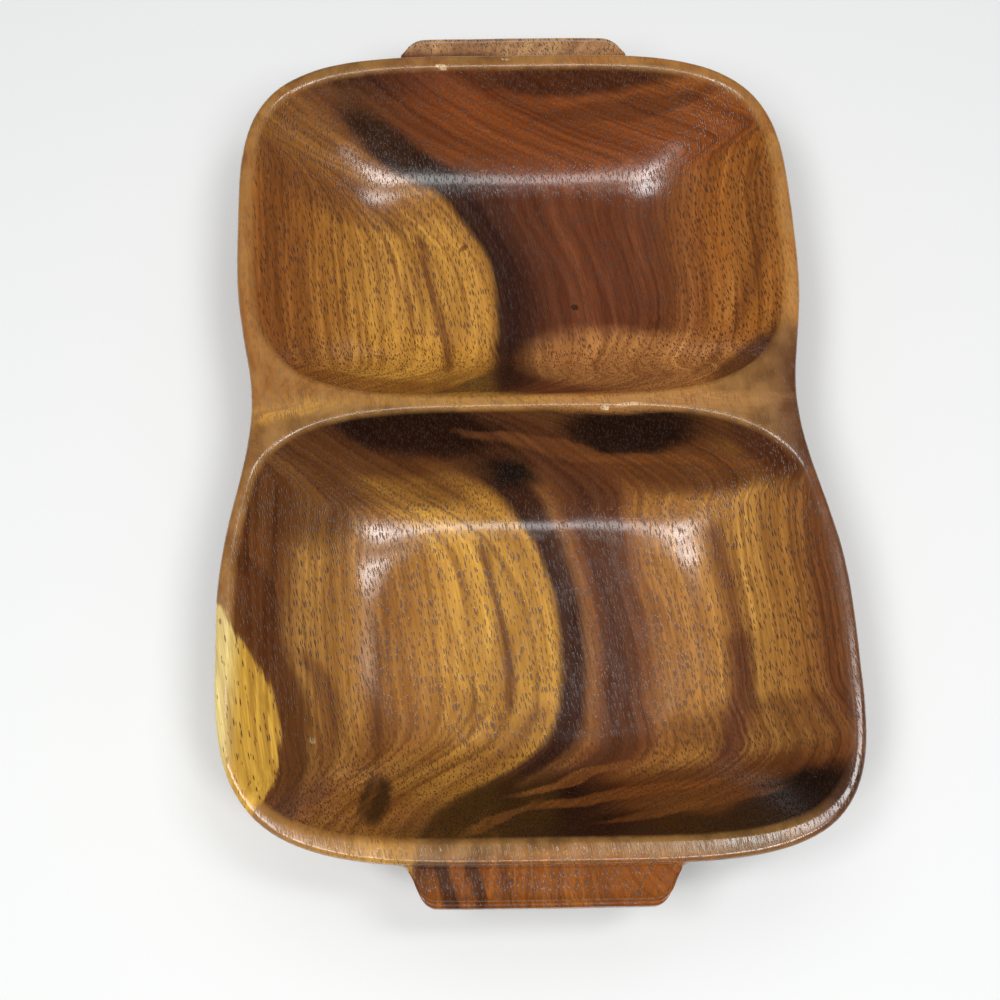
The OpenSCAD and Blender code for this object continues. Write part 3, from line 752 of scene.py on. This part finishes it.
# Soft patches in plan: middle, half sizes, turn in degrees. A later one covers an earlier one.
patches = (
    {"middle": (-76, 112), "size": (40, 20), "turn": 0, "colour": (0.17, 0.062, 0.018), "share": 0.75},
    {"middle": (28, 119), "size": (78, 15), "turn": -3, "colour": (0.20, 0.052, 0.010), "share": 0.8},
    {"middle": (22, 131.5), "size": (38, 4), "turn": 0, "colour": (0.045, 0.012, 0.004), "share": 0.9},
    {"middle": (38, 124.5), "size": (34, 2.5), "turn": 3, "colour": (0.095, 0.025, 0.006), "share": 0.7},
    {"middle": (-46, 115), "size": (24, 6.5), "turn": -24, "colour": (0.016, 0.006, 0.003), "share": 0.92},
    {"middle": (35, 29), "size": (37, 19), "turn": -8, "colour": (0.43, 0.190, 0.062), "share": 0.75},
    {"middle": (-36, 36), "size": (24, 14), "turn": 0, "colour": (0.48, 0.230, 0.042), "share": 0.5},
    {"middle": (-58, 96), "size": (28, 9), "turn": 0, "colour": (0.17, 0.062, 0.018), "share": 0.6},
    {"middle": (-64, 15), "size": (40, 8), "turn": 0, "colour": (0.17, 0.048, 0.008), "share": 0.85},
    {"middle": (74, 18), "size": (20, 11), "turn": 35, "colour": (0.060, 0.020, 0.008), "share": 0.9},
    # Far handle: paler, greyer tan, partly its own colour and partly a painted sheen
    {"middle": (0, 149), "size": (60, 10), "turn": 0, "colour": (0.42, 0.230, 0.115), "share": 0.9},
    {"middle": (84, 7), "size": (13, 30), "turn": 0, "colour": (0.070, 0.023, 0.009), "share": 0.95},
    # This patch and the next seven darken the large hollow's wall just under the septum. They are partly
    # dark heartwood and partly painted shade, deepest right under the septum's edge.
    {"middle": (52, -9), "size": (48, 10), "turn": -4, "colour": (0.080, 0.021, 0.005), "share": 0.85},
    {"middle": (-54, -5), "size": (44, 8), "turn": 0, "colour": (0.055, 0.017, 0.004), "share": 0.95},
    {"middle": (-15, -7), "size": (20, 6.5), "turn": -20, "colour": (0.006, 0.002, 0.001), "share": 1},
    {"middle": (76, -7), "size": (14, 6), "turn": -35, "colour": (0.065, 0.020, 0.008), "share": 0.85},
    {"middle": (-46, -12), "size": (32, 10), "turn": 0, "colour": (0.11, 0.038, 0.009), "share": 0.7},
    {"middle": (0, -1), "size": (84, 7.5), "turn": 0, "colour": (0.055, 0.017, 0.005), "share": 0.9},
    {"middle": (-38, 0), "size": (32, 7), "turn": -4, "colour": (0.012, 0.003, 0.001), "share": 0.95},
    {"middle": (32, -1), "size": (24, 6.5), "turn": 0, "colour": (0.010, 0.003, 0.001), "share": 0.95},
    {"middle": (4, -4.5), "size": (30, 1.8), "turn": -8, "colour": (0.13, 0.042, 0.011), "share": 0.7},
    {"middle": (48, -9.5), "size": (28, 1.6), "turn": -6, "colour": (0.16, 0.052, 0.012), "share": 0.7},
    {"middle": (-80, -18), "size": (26, 19), "turn": 0, "colour": (0.095, 0.034, 0.010), "share": 0.85},
    {"middle": (-44, -102), "size": (18, 15), "turn": 0, "colour": (0.16, 0.060, 0.016), "share": 0.7},
    {"middle": (-58, -123), "size": (30, 11), "turn": 0, "colour": (0.15, 0.046, 0.012), "share": 0.75},
    {"middle": (76, -97), "size": (34, 11), "turn": 0, "colour": (0.10, 0.033, 0.012), "share": 0.6},
    # Broad darkening of the large hollow's near wall: partly dark wood, partly painted shade on a wall
    # that faces away from the light
    {"middle": (48, -118), "size": (60, 12), "turn": 8, "colour": (0.075, 0.019, 0.005), "share": 0.92},
    {"middle": (-30, -92), "size": (26, 14), "turn": -25, "colour": (0.20, 0.078, 0.015), "share": 0.5},
    # The next three near-black patches on the large hollow's near wall are dark wood with painted shade
    # over it
    {"middle": (-5, -122), "size": (32, 12), "turn": 12, "colour": (0.009, 0.002, 0.001), "share": 1},
    {"middle": (18, -130), "size": (64, 8), "turn": 0, "colour": (0.012, 0.003, 0.001), "share": 1},
    {"middle": (72, -124), "size": (30, 9), "turn": 24, "colour": (0.010, 0.004, 0.002), "share": 1},
    {"middle": (12, -111.5), "size": (22, 1.8), "turn": 18, "colour": (0.17, 0.058, 0.014), "share": 0.75},
    {"middle": (28, -117), "size": (32, 1.8), "turn": 8, "colour": (0.16, 0.050, 0.011), "share": 0.75},
    {"middle": (46, -122), "size": (30, 1.4), "turn": 10, "colour": (0.12, 0.038, 0.009), "share": 0.7},
    {"middle": (-12, -125), "size": (14, 1.4), "turn": 24, "colour": (0.11, 0.036, 0.009), "share": 0.7},
    {"middle": (-50, -118), "size": (5.5, 9), "turn": 0, "colour": (0.016, 0.006, 0.002), "share": 0.95},
    {"middle": (-11, -76), "size": (5, 20), "turn": -4, "colour": (0.17, 0.060, 0.010), "share": 0.5},
    {"middle": (-24, 8), "size": (38, 3.5), "turn": 0, "colour": (0.31, 0.150, 0.030), "share": 0.85},
    {"middle": (42, 6), "size": (42, 3.5), "turn": 0, "colour": (0.34, 0.155, 0.055), "share": 0.7},
    {"middle": (12, -148), "size": (56, 14), "turn": 0, "colour": (0.19, 0.053, 0.005), "share": 0.95},
    # Nicks on the rim and septum, a chip in a wall and two dark marks
    {"middle": (-28.7, 134.2), "size": (2.2, 0.6), "turn": 0, "colour": (0.75, 0.62, 0.45), "share": 0.9},
    {"middle": (-6, 137), "size": (1.6, 0.5), "turn": 0, "colour": (0.70, 0.55, 0.38), "share": 0.8},
    {"middle": (24, 5), "size": (1.6, 0.9), "turn": 0, "colour": (0.75, 0.62, 0.45), "share": 0.9},
    {"middle": (31, 5.2), "size": (4.5, 0.6), "turn": 2, "colour": (0.66, 0.50, 0.34), "share": 0.85},
    {"middle": (-71, -99), "size": (0.9, 1.1), "turn": 0, "colour": (0.62, 0.48, 0.30), "share": 0.9},
    {"middle": (18, 56.5), "size": (1.3, 1.3), "turn": 0, "colour": (0.030, 0.008, 0.003), "share": 0.9},
    {"middle": (-22.5, 81), "size": (2.2, 0.9), "turn": 40, "colour": (0.11, 0.034, 0.009), "share": 0.8},
)


def buildStreak(tree, distance, width, soft, along, start, end):
    inner = calc(tree, "SUBTRACT", width, soft)
    outer = calc(tree, "ADD", width, soft)
    across = fade(tree, calc(tree, "MULTIPLY", calc(tree, "ABSOLUTE", distance), 2), inner, outer, 1, 0)
    first = fade(tree, along, start, calc(tree, "ADD", start, wood["streakFade"]))
    last = fade(tree, along, calc(tree, "SUBTRACT", end, wood["streakFade"]), end, 1, 0)
    return [calc(tree, "MULTIPLY", across, calc(tree, "MULTIPLY", first, last))]


def buildPatch(tree, across, along, turnCos, turnSin, sizeAcross, sizeAlong):
    first = calc(tree, "MULTIPLY_ADD", along, turnSin, calc(tree, "MULTIPLY", across, turnCos))
    second = calc(tree, "MULTIPLY", across, turnSin)
    second = calc(tree, "SUBTRACT", calc(tree, "MULTIPLY", along, turnCos), second)
    first = calc(tree, "DIVIDE", first, sizeAcross)
    second = calc(tree, "DIVIDE", second, sizeAlong)
    reach = calc(tree, "MULTIPLY_ADD", first, first, calc(tree, "MULTIPLY", second, second))
    return [fade(tree, reach, *wood["patchFade"], 1, 0)]


def buildPores(tree, across, along, depth, density):  # short vessels along the grain
    sizes = (wood["poreGap"], wood["poreLength"], wood["poreReach"])
    cells = tree.nodes.new("ShaderNodeTexVoronoi")
    give(tree, cells.inputs["Vector"], scaled(tree, (across, along, depth), sizes))
    cells.inputs["Scale"].default_value = 1
    parts = tree.nodes.new("ShaderNodeSeparateColor")
    give(tree, parts.inputs[0], cells.outputs["Color"])
    size = fade(tree, parts.outputs[1], 0, 1, *wood["poreWidths"])
    core = calc(tree, "MULTIPLY", size, wood["poreSharpness"])
    dash = fade(tree, cells.outputs["Distance"], core, size, 1, 0)
    return [calc(tree, "MULTIPLY", dash, calc(tree, "LESS_THAN", parts.outputs[0], density))]


streakGroup = makeGroup(
    "woodStreak", ("Distance", "Width", "Softness", "Along", "Start", "End"), ("Mask",), buildStreak)
patchGroup = makeGroup(
    "woodAndPaintedLightPatch", ("Across", "Along", "Turn Cosine", "Turn Sine", "Size Across", "Size Along"), ("Mask",),
    buildPatch)
poreGroup = makeGroup("woodPores", ("Across", "Along", "Depth", "Density"), ("Mask",), buildPores)


def grainPlaces(tree, x, y, z, fibre):  # across and along, wavering in wide waves and in fine teeth
    sway = waver(tree, (x, y, z), wood["sway"])
    teeth = waver(tree, (fibre, y, z), wood["teeth"])
    across = calc(tree, "ADD", x, calc(tree, "ADD", sway, teeth))
    return across, calc(tree, "ADD", y, waver(tree, (z, x, y), wood["drift"]))


def growthLayers(tree, across, y, z):
    # Distance from the heart band's edge, bent on the walls as the carving cuts through the layers
    edge = curveOver(tree, y, wood["heartEdge"], wood["curveSpan"])
    spread = calc(tree, "DIVIDE", curveOver(tree, y, wood["bandSpread"], wood["curveSpan"]), 100)
    layer = calc(tree, "MULTIPLY", calc(tree, "SUBTRACT", across, edge), spread)
    line = fade(tree, y, *wood["straightAlong"], *wood["straightAcross"])
    straight = calc(tree, "SUBTRACT", across, line)
    apart = fade(tree, layer, *wood["straightZone"], 1, 0)
    layer = calc(tree, "MULTIPLY_ADD", apart, calc(tree, "SUBTRACT", straight, layer), layer)
    rightTurn = fade(tree, layer, *wood["rightTurnZone"], 0, wood["rightTurn"])
    leftTurn = fade(tree, layer, *wood["leftTurnZone"], -wood["leftTurn"], 0)
    rise = calc(tree, "SUBTRACT", z, wood["turnHeight"])
    return calc(tree, "MULTIPLY_ADD", calc(tree, "ADD", rightTurn, leftTurn), rise, layer)


def heartwood(tree, ring, y, z):  # colours of the two hollows, which meet at the septum
    farColour = colourOver(tree, ring, wood["farColours"], *wood["colourSpan"])
    nearColour = colourOver(tree, ring, wood["nearColours"], *wood["colourSpan"])
    width = fade(tree, z, *wood["borderHeights"], *wood["borderWidths"])
    fromBorder = calc(tree, "DIVIDE", calc(tree, "SUBTRACT", y, wood["hollowBorder"]), width)
    return blend(tree, fade(tree, fromBorder, -1, 1), nearColour, farColour)


def addPatches(tree, colour, across, along):
    for patch in patches:
        angle = math.radians(patch["turn"])
        middleX, middleY = patch["middle"]
        places = (calc(tree, "SUBTRACT", across, middleX), calc(tree, "SUBTRACT", along, middleY))
        mask = useGroup(tree, patchGroup, *places, math.cos(angle), math.sin(angle), *patch["size"])[0]
        share = calc(tree, "MULTIPLY", mask, patch["share"])
        colour = blend(tree, share, colour, (*patch["colour"], 1))
    return colour


def addStreaks(tree, colour, across, y):
    for streak in streaks:
        centre = curveOver(tree, y, streak["path"], wood["curveSpan"])
        start = min(streak["path"])[0] - wood["streakOverrun"]
        end = max(streak["path"])[0] + wood["streakOverrun"]
        distance = calc(tree, "SUBTRACT", across, centre)
        width, soft = streak["width"], streak["soft"] * 2
        mask = useGroup(tree, streakGroup, distance, width, soft, y, start, end)[0]
        share = calc(tree, "MULTIPLY", mask, streak["share"])
        colour = blend(tree, share, colour, (*streak["colour"], 1))
    return colour


def addSapwood(tree, colour, across, x, y):  # paler towards the rim. Gives its mask too.
    border = calc(tree, "SUBTRACT", across, curveOver(tree, y, wood["sapEdge"], wood["curveSpan"]))
    pale = blend(tree, fade(tree, x, *wood["sapPaleZone"]), wood["sapColour"], wood["sapPale"])
    sap = fade(tree, border, *wood["sapBorder"], 1, 0)
    return blend(tree, sap, colour, pale), sap


def addFibres(tree, colour, fine, ring, y, z):  # fine lines, streaks and broad bands
    leaning = calc(tree, "MULTIPLY_ADD", y, wood["lineLean"], ring)
    tone = toned(tree, wood["brightness"], fine, wood["fineGrain"])
    tone = toned(tree, tone, grain(tree, (leaning, y, z), wood["lineGrain"]), wood["lineGrain"])
    tone = toned(tree, tone, grain(tree, (ring, y, z), wood["broadGrain"]), wood["broadGrain"])
    shade = tree.nodes.new("ShaderNodeCombineColor")
    for socket, power in zip(shade.inputs, wood["tonePowers"]):
        give(tree, socket, calc(tree, "POWER", tone, power))
    colour = blend(tree, 1, colour, shade.outputs[0], "MULTIPLY")
    return blend(tree, 1, colour, wood["tint"], "MULTIPLY")


def addPores(tree, colour, sap, across, fibre, y, z):  # gives their mask too
    patchy = grain(tree, (across, y, z), wood["poreNoise"])
    thick = fade(tree, patchy, *wood["poreNoiseZone"], wood["leastPores"], 1)
    density = calc(tree, "MULTIPLY", thick, fade(tree, sap, 0, 1, 1, wood["sapPores"]))
    pores = useGroup(tree, poreGroup, fibre, y, z, density)[0]
    share = calc(tree, "MULTIPLY", pores, wood["poreShare"])
    return blend(tree, share, colour, wood["poreColour"], "DARKEN"), pores


def addWear(tree, colour, wear, sap, x, y, z):  # worn, paler rim and septum
    start, end = [tray["height"] - depth for depth in wood["rimDepths"]]
    worn = calc(tree, "MULTIPLY", fade(tree, z, start, end), wood["rimShare"])
    worn = calc(tree, "MULTIPLY", worn, fade(tree, wear, *wood["wearZone"], *wood["wearShares"]))
    worn = calc(tree, "MULTIPLY", worn, fade(tree, y, *wood["nearHandleEdge"], wood["nearHandleWear"], 1))
    worn = calc(tree, "MULTIPLY", worn, fade(tree, sap, 0, 1, 1, wood["sapWear"]))
    right = fade(tree, x, *wood["rimDarkAcross"])
    right = calc(tree, "MULTIPLY", right, fade(tree, y, *wood["rimDarkAlong"], 1, 0))
    return blend(tree, worn, colour, blend(tree, right, wood["rimColour"], wood["rimDark"]))


def lacquer(tree, shader, wear, pores):  # its gloss is broken up by the wear and the pores
    least = wood["roughness"] - wood["wearRoughness"] / 2
    rough = calc(tree, "MULTIPLY_ADD", wear, wood["wearRoughness"], least)
    rough = calc(tree, "MULTIPLY_ADD", pores, wood["poreRoughness"], rough, clamp=True)
    give(tree, shader.inputs["Roughness"], rough)
    shader.inputs["IOR"].default_value = wood["lacquerIor"]


def relief(tree, shader, wear, pores, fine):
    height = calc(tree, "MULTIPLY", pores, -wood["poreDepth"] * mm)
    height = calc(tree, "MULTIPLY_ADD", fine, wood["fibreDepth"] * mm, height)
    height = calc(tree, "MULTIPLY_ADD", wear, wood["toolMarkDepth"] * mm, height)
    bump = tree.nodes.new("ShaderNodeBump")
    bump.inputs["Distance"].default_value = 1
    give(tree, bump.inputs["Height"], height)
    give(tree, shader.inputs["Normal"], bump.outputs[0])


def makeWood():
    material = bpy.data.materials.new("acaciaWood")
    material.use_nodes = True
    tree = material.node_tree
    shader = tree.nodes["Principled BSDF"]
    place = tree.nodes.new("ShaderNodeSeparateXYZ")
    give(tree, place.inputs[0], tree.nodes.new("ShaderNodeTexCoord").outputs["Object"])
    x, y, z = [calc(tree, "DIVIDE", socket, mm) for socket in place.outputs]
    fibre = calc(tree, "MULTIPLY_ADD", y, wood["fibreSlant"], x)
    across, along = grainPlaces(tree, x, y, z, fibre)
    ring = growthLayers(tree, across, y, z)
    fine = grain(tree, (fibre, y, z), wood["fineGrain"])
    wear = grain(tree, (x, y, z), wood["wearNoise"])
    colour = heartwood(tree, ring, y, z)
    colour = addPatches(tree, colour, across, along)
    colour = addStreaks(tree, colour, across, y)
    colour, sap = addSapwood(tree, colour, across, x, y)
    colour = addFibres(tree, colour, fine, ring, y, z)
    colour, pores = addPores(tree, colour, sap, across, fibre, y, z)
    colour = addWear(tree, colour, wear, sap, x, y, z)
    give(tree, shader.inputs["Base Color"], colour)
    lacquer(tree, shader, wear, pores)
    relief(tree, shader, wear, pores, fine)
    print("wood:", len(tree.nodes), "nodes")
    return material


body.data.materials.append(makeWood())
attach(body, "root")
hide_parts(trayNode)
